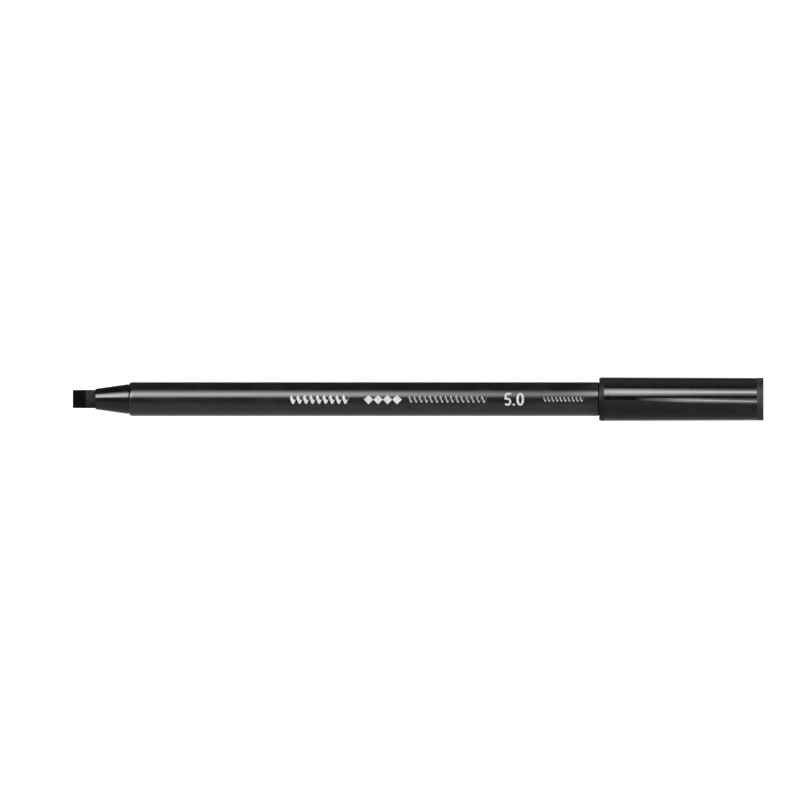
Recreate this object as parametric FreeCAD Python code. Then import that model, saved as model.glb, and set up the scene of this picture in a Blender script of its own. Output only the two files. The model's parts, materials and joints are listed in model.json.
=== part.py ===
import FreeCAD, Part
import os
from math import asin, atan2, cos, degrees, pi, sin, sqrt

# Broad-nib calligraphy marker with its cap posted on the rear of the barrel.
# The marker lies along X with the nib towards -X and the cap towards +X, on the plane z = 0.
# The origin is at the middle of its length and width, on the surface it lies on.
# All sizes are in millimetres. Lengths along the marker are counted from the writing edge.

# Nib: a flat bar of pressed fibre with a chisel edge and a narrower tail.
nib_width = 4.9
nib_thickness = 1.7
nib_edge_thickness = 0.45
nib_bevel_length = 3.5
nib_exposed = 6.1
nib_seat_length = 8.0
nib_tail_width = 3.4
nib_tail_length = 20.0
nib_tail_point = 1.6
nib_corner_round = 0.28
nib_slot_clearance = 0.02

# Nib holder: a glossy cone in front, and a plug that is pressed into the barrel.
snout_wall = 0.33
cone_length = 8.9
holder_plug_length = 11.0
seam_gap = 0.15
seam_depth = 0.16
snout_round = 0.12
bead_height = 0.14
bead_width = 1.0
bead_inset = 5.0
vent_width = 0.5
vent_depth = 0.35
plug_lead_in = 0.4

# Barrel: a straight satin tube with ribs inside that centre the ink reservoir.
barrel_radius = 4.585
barrel_length = 143.55
barrel_wall = 0.865
barrel_nose_length = 0.95
barrel_nose_drop = 0.415
holder_step = 0.11
post_step = 0.18
post_step_length = 0.2
post_ring_width = 1.6
post_ring_inset = 3.0
rib_height = 0.35
rib_width = 0.6
rib_count = 4
rib_end_gap = 1.0

# Ink reservoir: a fibre rod in a plastic film.
film_thickness = 0.12
film_clearance = 0.02
rib_clearance = 0.03
reservoir_front_gap = 0.3
reservoir_rear_gap = 0.5
film_overhang = 0.2

# End plug that closes the rear of the barrel.
plug_flange = 0.8
plug_flange_chamfer = 0.15
plug_spigot_length = 6.0
plug_wall = 1.3
press_clearance = 0.015

# Cap: a tapered glossy shell, a sealing cup inside it, and a disc that closes its end.
nib_tip_room = 5.55
cap_wall = 1.26
cap_taper_drop = 0.15
cap_sliding_clearance = 0.03
cap_lip_length = 1.1
cap_lip_drop = 0.2
cap_mouth_lead_in = 0.3
post_depth = 18.0
stop_gap = 0.05
cone_gap = 0.05
seal_line = 4.28
seal_floor = 0.7
seal_flare = 0.3
disc_thickness = 1.75
disc_round = 0.15
disc_spigot_length = 3.0

# Radii that follow from the sizes above, from the barrel inwards and outwards.
bore_radius = barrel_radius - barrel_wall
post_radius = barrel_radius - post_step
film_outer_radius = bore_radius - rib_height - rib_clearance
film_inner_radius = film_outer_radius - film_thickness
reservoir_radius = film_inner_radius - film_clearance
barrel_nose_radius = barrel_radius - barrel_nose_drop
cone_rear_radius = barrel_nose_radius - holder_step
snout_radius = nib_width / 2 + snout_wall
cap_bore_radius = barrel_radius + cap_sliding_clearance
cap_radius = cap_bore_radius + cap_wall
cap_end_radius = cap_radius - cap_taper_drop
cap_deep_radius = cone_rear_radius + cone_gap
seal_outer_radius = cap_deep_radius - press_clearance

# Stations along the marker that follow from the lengths above, counted from the writing edge.
cone_front_at = nib_exposed
cone_rear_at = cone_front_at + cone_length
barrel_front_at = cone_rear_at + seam_gap
holder_rear_at = barrel_front_at + holder_plug_length
nib_shoulder_at = nib_exposed + nib_seat_length
nib_tail_end_at = nib_shoulder_at + nib_tail_length
barrel_rear_at = barrel_front_at + barrel_length
pen_rear_at = barrel_rear_at + plug_flange
spigot_front_at = barrel_rear_at - plug_spigot_length
reservoir_front_at = holder_rear_at + reservoir_front_gap
reservoir_rear_at = spigot_front_at - reservoir_rear_gap
cap_mouth_at = pen_rear_at - post_depth
cap_shoulder_at = pen_rear_at + stop_gap
barrel_grip_end_at = cap_mouth_at - cap_mouth_lead_in

# When the cap closes the front, its shoulder stops on the barrel's nose. The seal then meets the cone
# on the seal line, counted from the cone's front, and the nib's tip stands clear of the seal's floor.
cone_slope = (cone_rear_radius - snout_radius) / cone_length
seal_bore_radius = snout_radius + cone_slope * seal_line
seal_mouth_at = cap_shoulder_at + seam_gap + cone_length - seal_line
seal_floor_at = cap_shoulder_at + barrel_front_at + nib_tip_room
disc_spigot_front_at = seal_floor_at + seal_floor
cap_shell_rear_at = disc_spigot_front_at + disc_spigot_length
cap_end_at = cap_shell_rear_at + disc_thickness

total_length = cap_end_at
axis_height = cap_radius


def on_axis(station, radius):
    """A point of a turned outline, above the marker's axis."""
    return FreeCAD.Vector(station - total_length / 2, 0, radius)


def turned(start, *steps):
    """A solid of revolution about the marker's axis.

    A step of two numbers is a straight line to that station and radius. A step of four numbers is
    an arc through the first station and radius to the second.
    """
    edges = []
    here = on_axis(*start)
    for step in steps + (start,):
        there = on_axis(*step[-2:])
        if len(step) == 4:
            edges.append(Part.Arc(here, on_axis(*step[:2]), there).toShape())
        else:
            edges.append(Part.makeLine(here, there))
        here = there
    face = Part.Face(Part.Wire(edges))
    return face.revolve(FreeCAD.Vector(0, 0, 0), FreeCAD.Vector(1, 0, 0), 360)


def nose_round(front_at, radius, length, drop):
    """An arc step that climbs by drop over length and runs out along the axis at this radius."""
    bend = (length ** 2 + drop ** 2) / (2 * drop)
    half_turn = asin(length / bend) / 2
    middle_at = front_at + length - bend * sin(half_turn)
    return middle_at, radius - bend * (1 - cos(half_turn)), front_at + length, radius


def bar(front_at, rear_at, width, thickness):
    """A flat bar along the axis: its width stands along Z and its thickness along Y."""
    corner = FreeCAD.Vector(front_at - total_length / 2, -thickness / 2, -width / 2)
    return Part.makeBox(rear_at - front_at, thickness, width, corner)


def rounded_bar(front_at, rear_at, width, thickness, corner_round):
    """A flat bar whose four long edges are rounded."""
    block = bar(front_at, rear_at, width, thickness)
    long_edges = [e for e in block.Edges if abs(e.tangentAt(e.FirstParameter).x) > 0.5]
    return block.makeFillet(corner_round, long_edges)


def bead_outline(rise):
    """Stations and radii of the retaining bead, or of its groove, standing rise above the bore."""
    middle = barrel_front_at + bead_inset
    half = bead_width / 2 * rise / bead_height
    base = bore_radius - press_clearance
    return (middle - half, base), (middle, bore_radius + rise - press_clearance), (middle + half, base)


def lifted(shape):
    """The shape, raised so that the cap's widest ring rests on the plane z = 0."""
    shape.translate(FreeCAD.Vector(0, 0, axis_height))
    return shape


def nib():
    """Flat fibre nib: two bevels meet in a blunt writing edge, and a tail runs back into the ink."""
    blade = rounded_bar(0, nib_shoulder_at, nib_width, nib_thickness, nib_corner_round)
    rise = (nib_thickness - nib_edge_thickness) / 2
    slant = sqrt(nib_bevel_length ** 2 + rise ** 2)
    tilt = degrees(atan2(rise, nib_bevel_length))
    for side in (-1, 1):
        cutter = bar(-slant, 2 * slant, 2 * nib_width, nib_thickness)
        cutter.translate(FreeCAD.Vector(0, side * (nib_thickness + nib_edge_thickness) / 2, 0))
        tip = on_axis(0, 0) + FreeCAD.Vector(0, side * nib_edge_thickness / 2, 0)
        cutter.rotate(tip, FreeCAD.Vector(0, 0, 1), side * tilt)
        blade = blade.cut(cutter)
    return lifted(blade.fuse(nib_tail(0)).removeSplitter())


def nib_tail(clearance):
    """The narrow rear of the nib, or the pocket for it when a clearance is given."""
    half_width = nib_tail_width / 2 + clearance
    half_point = half_width / 2
    end_at = nib_tail_end_at + clearance
    outline = [
        on_axis(nib_shoulder_at, -half_width),
        on_axis(end_at - nib_tail_point, -half_width),
        on_axis(end_at, -half_point),
        on_axis(end_at, half_point),
        on_axis(end_at - nib_tail_point, half_width),
        on_axis(nib_shoulder_at, half_width),
        on_axis(nib_shoulder_at, -half_width),
    ]
    thickness = nib_thickness + 2 * clearance
    tail = Part.Face(Part.makePolygon(outline)).extrude(FreeCAD.Vector(0, thickness, 0))
    tail.translate(FreeCAD.Vector(0, -thickness / 2, 0))
    return tail


def nib_holder():
    """Glossy cone with a press-in plug, a slot for the nib and two air channels beside it."""
    plug_radius = bore_radius - press_clearance
    bead = bead_outline(bead_height)
    body = turned(
        (cone_front_at, 0),
        (cone_front_at, snout_radius - snout_round),
        nose_round(cone_front_at, snout_radius, snout_round, snout_round),
        (cone_rear_at, cone_rear_radius),
        (cone_rear_at, cone_rear_radius - seam_depth),
        (barrel_front_at, cone_rear_radius - seam_depth),
        (barrel_front_at, plug_radius),
        *bead,
        (holder_rear_at - plug_lead_in, plug_radius),
        (holder_rear_at, plug_radius - plug_lead_in),
        (holder_rear_at, 0),
    )
    gap = 2 * nib_slot_clearance
    slot_round = nib_corner_round + nib_slot_clearance
    slot = rounded_bar(cone_front_at, nib_shoulder_at, nib_width + gap, nib_thickness + gap, slot_round)
    tail_slot = bar(nib_shoulder_at, holder_rear_at, nib_tail_width + gap, nib_thickness + gap)
    vents = bar(cone_front_at, holder_rear_at, vent_width, nib_thickness + gap + 2 * vent_depth)
    return lifted(body.cut(slot.fuse([tail_slot, vents])))


def post_ring(middle_at):
    """Line and arc steps of a low ring on the slim rear; it stands up to the barrel's own radius."""
    half = post_ring_width / 2
    return (middle_at - half, post_radius), (middle_at, barrel_radius, middle_at + half, post_radius)


def barrel():
    """Straight tube with a rounded nose, ribs inside, and a slim rear with two rings for the cap."""
    groove = bead_outline(bead_height + press_clearance)
    tail_start_at = barrel_grip_end_at + post_step_length
    tube = turned(
        (barrel_front_at, bore_radius),
        (barrel_front_at, barrel_nose_radius),
        nose_round(barrel_front_at, barrel_radius, barrel_nose_length, barrel_nose_drop),
        (barrel_grip_end_at, barrel_radius),
        (tail_start_at, post_radius),
        *post_ring(tail_start_at + post_ring_inset),
        *post_ring(barrel_rear_at - post_ring_inset),
        (barrel_rear_at, post_radius),
        (barrel_rear_at, bore_radius),
    )
    tube = tube.cut(turned(*groove))
    start_at = reservoir_front_at + rib_end_gap
    length = reservoir_rear_at - rib_end_gap - start_at
    inner = bore_radius - rib_height
    outer = bore_radius + barrel_wall / 2
    ribs = []
    for index in range(rib_count):
        corner = FreeCAD.Vector(start_at - total_length / 2, -rib_width / 2, inner)
        rib = Part.makeBox(length, rib_width, outer - inner, corner)
        turn = 360 / rib_count * (index + 0.5)
        rib.rotate(FreeCAD.Vector(0, 0, 0), FreeCAD.Vector(1, 0, 0), turn)
        ribs.append(rib)
    return lifted(tube.fuse(ribs).removeSplitter())


def ink_reservoir():
    """Fibre rod that holds the ink, with a pocket in front for the nib's tail."""
    rod = turned(
        (reservoir_front_at, 0),
        (reservoir_front_at, reservoir_radius),
        (reservoir_rear_at, reservoir_radius),
        (reservoir_rear_at, 0),
    )
    return lifted(rod.cut(nib_tail(nib_slot_clearance)))


def reservoir_film():
    """Thin tube of film wrapped round the fibre rod, a little longer than the rod at each end."""
    front_at = reservoir_front_at - film_overhang
    rear_at = reservoir_rear_at + film_overhang
    return lifted(turned(
        (front_at, film_inner_radius),
        (front_at, film_outer_radius),
        (rear_at, film_outer_radius),
        (rear_at, film_inner_radius),
    ))


def barrel_end_plug():
    """Plug with a flange flush with the barrel and a hollow spigot pressed into its rear."""
    spigot_radius = bore_radius - press_clearance
    hollow_radius = spigot_radius - plug_wall
    return lifted(turned(
        (barrel_rear_at, 0),
        (barrel_rear_at, hollow_radius),
        (spigot_front_at, hollow_radius),
        (spigot_front_at, spigot_radius),
        (barrel_rear_at, spigot_radius),
        (barrel_rear_at, post_radius),
        (pen_rear_at - plug_flange_chamfer, post_radius),
        (pen_rear_at, post_radius - plug_flange_chamfer),
        (pen_rear_at, 0),
    ))


def cap_shell():
    """Tapered tube: a wide bore grips the barrel, and past a shoulder a narrower one holds the seal."""
    return lifted(turned(
        (cap_mouth_at, cap_bore_radius + cap_mouth_lead_in),
        (cap_mouth_at, cap_radius - cap_lip_drop),
        nose_round(cap_mouth_at, cap_radius, cap_lip_length, cap_lip_drop),
        (cap_shell_rear_at, cap_end_radius),
        (cap_shell_rear_at, cap_deep_radius),
        (cap_shoulder_at, cap_deep_radius),
        (cap_shoulder_at, cap_bore_radius),
        (cap_mouth_at + cap_mouth_lead_in, cap_bore_radius),
    ))


def cap_inner_seal():
    """Soft cup deep in the cap: its flared mouth closes on the cone and keeps the nib wet."""
    return lifted(turned(
        (seal_mouth_at, seal_outer_radius),
        (disc_spigot_front_at, seal_outer_radius),
        (disc_spigot_front_at, 0),
        (seal_floor_at, 0),
        (seal_floor_at, seal_bore_radius),
        (seal_mouth_at + seal_flare, seal_bore_radius),
        (seal_mouth_at, seal_bore_radius + seal_flare),
    ))


def cap_end_disc():
    """Disc flush with the cap that closes its end, with a spigot pressed into the bore."""
    spigot_radius = cap_deep_radius - press_clearance
    rim_at = cap_end_at - disc_round
    return lifted(turned(
        (disc_spigot_front_at, 0),
        (disc_spigot_front_at, spigot_radius),
        (cap_shell_rear_at, spigot_radius),
        (cap_shell_rear_at, cap_end_radius),
        (rim_at, cap_end_radius),
        (rim_at + disc_round * sin(pi / 4), cap_end_radius - disc_round * (1 - cos(pi / 4)),
         cap_end_at, cap_end_radius - disc_round),
        (cap_end_at, 0),
    ))


def main():
    """Write each piece to its own file and print its volume, its soundness and its number of solids."""
    os.makedirs("parts", exist_ok=True)
    makers = (
        nib, nib_holder, barrel, ink_reservoir, reservoir_film, barrel_end_plug,
        cap_shell, cap_inner_seal, cap_end_disc,
    )
    for maker in makers:
        shape = maker()
        shape.exportStep("parts/" + maker.__name__ + ".step")
        print(maker.__name__, round(shape.Volume, 2), shape.isValid(), len(shape.Solids))


main()
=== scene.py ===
"""A broad-nib calligraphy marker with its cap posted on the rear, dressed around its fixed frame.

Every shape is a surface of two parameters worked out in metres with numpy. Stations run along X from
the writing edge towards the cap's closed end, and angles turn about the marker's axis: zero faces the
reader (-Y) and a quarter turn faces up (+Z).
"""

import json
import logging
from dataclasses import dataclass
from enum import Enum

import bmesh
import bpy
import numpy as np
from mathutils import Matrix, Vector

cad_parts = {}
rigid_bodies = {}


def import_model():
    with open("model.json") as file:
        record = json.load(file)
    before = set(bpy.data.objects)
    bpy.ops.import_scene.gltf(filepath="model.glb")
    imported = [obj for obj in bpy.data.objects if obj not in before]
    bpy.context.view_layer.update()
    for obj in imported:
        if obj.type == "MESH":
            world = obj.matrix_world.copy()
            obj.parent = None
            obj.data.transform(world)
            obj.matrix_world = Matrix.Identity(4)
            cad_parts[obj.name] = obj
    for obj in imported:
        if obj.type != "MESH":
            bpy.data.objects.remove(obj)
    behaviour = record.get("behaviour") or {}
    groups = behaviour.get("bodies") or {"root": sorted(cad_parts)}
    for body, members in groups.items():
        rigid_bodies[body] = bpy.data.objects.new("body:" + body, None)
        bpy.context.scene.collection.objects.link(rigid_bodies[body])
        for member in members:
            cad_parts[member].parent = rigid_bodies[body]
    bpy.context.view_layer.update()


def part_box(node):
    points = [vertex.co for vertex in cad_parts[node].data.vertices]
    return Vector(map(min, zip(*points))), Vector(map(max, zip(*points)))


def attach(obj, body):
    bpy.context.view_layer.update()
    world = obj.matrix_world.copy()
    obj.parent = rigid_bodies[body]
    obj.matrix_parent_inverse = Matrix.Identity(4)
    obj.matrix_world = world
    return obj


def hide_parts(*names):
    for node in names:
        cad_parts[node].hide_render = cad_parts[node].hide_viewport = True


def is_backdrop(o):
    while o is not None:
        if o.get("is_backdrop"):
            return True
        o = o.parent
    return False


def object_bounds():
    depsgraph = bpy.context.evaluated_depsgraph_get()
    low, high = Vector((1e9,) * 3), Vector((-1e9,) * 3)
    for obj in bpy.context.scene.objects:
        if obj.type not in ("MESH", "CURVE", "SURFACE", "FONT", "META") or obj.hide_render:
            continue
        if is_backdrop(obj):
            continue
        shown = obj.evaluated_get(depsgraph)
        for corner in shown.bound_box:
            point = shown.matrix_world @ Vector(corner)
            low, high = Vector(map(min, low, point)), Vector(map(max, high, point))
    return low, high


MM = 0.001
MICROMETRE = 1e-6
MERGE_DISTANCE = 1e-7
SLIVER_LENGTH = 1e-8
FULL_TURN = 2 * np.pi
LAMP_TINT = (1.0, 0.985, 0.965)
PLAIN_WHITE = (1.0, 1.0, 1.0, 1.0)

Span = tuple[float, float]
Triple = tuple[float, float, float]
Socket = bpy.types.NodeSocket

# Spans of a pattern's value: the whole of it, nearly all that occurs, and the middle of that.
WHOLE = (0.0, 1.0)
BROAD = (0.3, 0.7)
MIDDLE = (0.35, 0.65)

# The most of a run that a bend may take, and that a bend and its holding point may take.
BEND_SHARE = 0.45
HOLD_SHARE = 0.49

# The slants along X, the slants around and the shifts of the waves that make a ripple.
RIPPLE_WAVES = ((1.00, 0.83, 1.0), (1.73, -1.31, 2.1), (2.91, 2.17, 3.7), (4.57, -3.89, 5.3))

log = logging.getLogger("marker")


class Wrap(Enum):
    """Which ways a grid of points closes on itself."""

    NEITHER = (False, False)
    AROUND = (False, True)
    BOTH = (True, True)


class Tone(Enum):
    """The two printing inks on the barrel, as linear grey levels."""

    WHITE = 0.72
    GREY = 0.42


@dataclass(frozen=True)
class Seat:
    """Where a node of the frame lies: its two ends, the height of the axis, and its half sizes."""

    front: float
    rear: float
    axis: float
    radius: float
    half_depth: float

    @classmethod
    def of(cls, node: str) -> "Seat":
        """Reads a seat from the frame.

        Args:
            node: The name of the CAD node.

        Returns:
            The node's seat in metres, with half of its height as the radius.
        """
        low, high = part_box(node)
        return cls(low.x, high.x, (low.z + high.z) / 2, (high.z - low.z) / 2, (high.y - low.y) / 2)

    @property
    def length_mm(self) -> float:
        """The distance between the two ends, in millimetres."""
        return (self.rear - self.front) / MM

    @property
    def radius_mm(self) -> float:
        """The radius, in millimetres."""
        return self.radius / MM


# Surfaces ----------------------------------------------------


def skin(name: str, grid: np.ndarray, wrap: Wrap) -> bpy.types.Object:
    """Makes a smooth mesh of a grid of points.

    The face at row i and column j joins the points (i, j), (i + 1, j), (i + 1, j + 1) and (i, j + 1).
    Rows that shrink to a point close a pole when the doubles are merged.

    Args:
        name: The name of the new piece.
        grid: The points, as rows by columns by three.
        wrap: Which ways the grid closes on itself.

    Returns:
        The new object, at the origin, with its faces turned outwards.
    """
    rows, columns = grid.shape[:2]
    wrap_rows, wrap_columns = wrap.value
    i, j = np.meshgrid(
        np.arange(rows if wrap_rows else rows - 1),
        np.arange(columns if wrap_columns else columns - 1),
        indexing="ij",
    )
    down = (i + 1) % rows
    over = (j + 1) % columns
    quads = np.stack([i * columns + j, down * columns + j, down * columns + over, i * columns + over], -1)
    mesh = bpy.data.meshes.new(name)
    mesh.from_pydata(grid.reshape(-1, 3), [], quads.reshape(-1, 4))
    work = bmesh.new()
    work.from_mesh(mesh)
    bmesh.ops.remove_doubles(work, verts=work.verts, dist=MERGE_DISTANCE)
    bmesh.ops.dissolve_degenerate(work, edges=work.edges, dist=SLIVER_LENGTH)
    bmesh.ops.recalc_face_normals(work, faces=work.faces)
    work.to_mesh(mesh)
    work.free()
    mesh.shade_smooth()
    piece = bpy.data.objects.new(name, mesh)
    bpy.context.scene.collection.objects.link(piece)
    return piece


def soften(corners: list[Triple], hold: float = 0.25, steps: int = 6) -> np.ndarray:
    """Rounds the corners of an outline and keeps the runs between them straight.

    Each corner P becomes a short bend from S to E, which lie on the two runs at the corner's round from P:
    (1 - u)^2 S + 2 u (1 - u) P + u^2 E. One more point a hold further out on each side keeps the long runs
    flat when the surface is shaded smooth.

    Args:
        corners: Station, radius and round of each corner, in millimetres.
        hold: How far past a bend the holding points stand, in millimetres.
        steps: The number of points on each bend.

    Returns:
        The stations and radii of the outline, in metres, as points by two.
    """
    table = np.array(corners, float)
    points = table[:, :2]
    before = points[:-2] - points[1:-1]
    after = points[2:] - points[1:-1]
    before_length = np.linalg.norm(before, axis=1, keepdims=True)
    after_length = np.linalg.norm(after, axis=1, keepdims=True)
    reach = np.minimum(table[1:-1, 2:3], BEND_SHARE * np.minimum(before_length, after_length))
    far_before = np.minimum(reach + hold, HOLD_SHARE * before_length)
    far_after = np.minimum(reach + hold, HOLD_SHARE * after_length)
    start = points[1:-1] + before / before_length * reach
    end = points[1:-1] + after / after_length * reach
    u = np.linspace(0, 1, steps)[None, :, None]
    bend = (1 - u) ** 2 * start[:, None] + 2 * u * (1 - u) * points[1:-1, None] + u**2 * end[:, None]
    first = (points[1:-1] + before / before_length * far_before)[:, None]
    last = (points[1:-1] + after / after_length * far_after)[:, None]
    inner = np.concatenate([first, bend, last], axis=1).reshape(-1, 2)
    return np.concatenate([points[:1], inner, points[-1:]]) * MM


def nose(length: float, drop: float, radius: float, hold: float, steps: int = 12) -> list[Triple]:
    """A rounded nose: a circular arc that runs out along the axis.

    With L its length and d its drop, the bend's radius is (L^2 + d^2) / 2 d, and a point at the turn t
    before the end stands at L - bend sin t, and bend (1 - cos t) below the full radius.

    Args:
        length: The nose's length, in millimetres.
        drop: How far its front lies below the full radius.
        radius: The full radius.
        hold: The round of each point.
        steps: The number of points on the arc.

    Returns:
        Station, radius and round of each point.
    """
    bend = (length**2 + drop**2) / (2 * drop)
    turn = np.linspace(np.arcsin(length / bend), 0, steps)
    stations = length - bend * np.sin(turn)
    radii = radius - bend * (1 - np.cos(turn))
    return list(zip(stations, radii, np.full(steps, hold)))


def around(stations: np.ndarray, radii: np.ndarray, seat: Seat, columns: int) -> np.ndarray:
    """Carries an outline around the marker's axis.

    The point at station x, radius r and angle a is (x, -r cos a, axis + r sin a).

    Args:
        stations: The stations of the rows, in metres from the seat's front.
        radii: The radius of each row, or of each row at each angle, in metres.
        seat: Where the piece lies.
        columns: The number of angles.

    Returns:
        The points, as rows by columns by three.
    """
    angle = angles(columns)
    radius = radii if radii.ndim == 2 else radii[:, None]
    x = seat.front + stations[:, None]
    return points_of(x, -radius * np.cos(angle), seat.axis + radius * np.sin(angle))


def angles(columns: int) -> np.ndarray:
    """Evenly spaced angles about the marker's axis."""
    return np.arange(columns) / columns * FULL_TURN


def points_of(x: np.ndarray, y: np.ndarray, z: np.ndarray | float) -> np.ndarray:
    """Points of three coordinates, once these are spread out to one shape."""
    return np.stack(np.broadcast_arrays(x, y, z), -1)


def blunted(values: np.ndarray, square: float) -> np.ndarray:
    """Values of -1 to 1 pushed out to a rounded square: the sign times the size to the power 2 / n."""
    return np.sign(values) * np.abs(values) ** (2 / square)


def turned(name: str, outline: np.ndarray, seat: Seat, wrap: Wrap, columns: int) -> bpy.types.Object:
    """A turned piece: its outline carried around the marker's axis.

    Args:
        name: The name of the new piece.
        outline: Stations from the seat's front and radii, in metres.
        seat: Where the piece lies.
        wrap: BOTH for a ring whose outline is closed, AROUND for a solid that meets the axis.
        columns: The number of angles.

    Returns:
        The new object.
    """
    return skin(name, around(outline[:, 0], outline[:, 1], seat, columns), wrap)


def flat_opening(
    angle: np.ndarray, half_width: float, half_thickness: float, square: float = 14
) -> np.ndarray:
    """The distance from the axis to a rounded flat outline that stands on edge, at each angle.

    With n the squareness, it is (|cos a / half thickness|^n + |sin a / half width|^n)^(-1 / n).

    Args:
        angle: The angles about the axis.
        half_width: Half of the outline's width along Z.
        half_thickness: Half of its thickness along Y.
        square: The squareness n; a larger one has sharper corners.

    Returns:
        The distance at each angle, in the unit of the sizes.
    """
    across = np.abs(np.cos(angle) / half_thickness) ** square
    along = np.abs(np.sin(angle) / half_width) ** square
    return (across + along) ** (-1 / square)


def ripple(x: np.ndarray, y: np.ndarray, seed: float) -> np.ndarray:
    """A gentle unevenness between -1 and 1: the mean of four slanted sine waves of unlike lengths.

    Args:
        x: Distances one way.
        y: Distances the other way.
        seed: A shift that makes one surface unlike the next.

    Returns:
        The unevenness at each point.
    """
    waves = [np.sin(x * along + y * over + seed * shift) for along, over, shift in RIPPLE_WAVES]
    return sum(waves) / len(waves)


def ramp(values: np.ndarray, start: float, end: float) -> np.ndarray:
    """Climbs in a straight line from nought at the start to one at the end, and holds both."""
    return np.clip((values - start) / (end - start), 0, 1)


def bell(values: np.ndarray, middle: float, width: float) -> np.ndarray:
    """A bell curve of height one about the middle: e to the minus ((value - middle) / width)^2."""
    return np.exp(-(((values - middle) / width) ** 2))


def between(start: np.ndarray | float, end: np.ndarray | float, share: np.ndarray) -> np.ndarray:
    """What lies at each share of the straight way from the start to the end."""
    return start + (end - start) * share


# Finishes ----------------------------------------------------
# Patterns have their size along X, Y and Z in millimetres, and reliefs are in micrometres.


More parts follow.
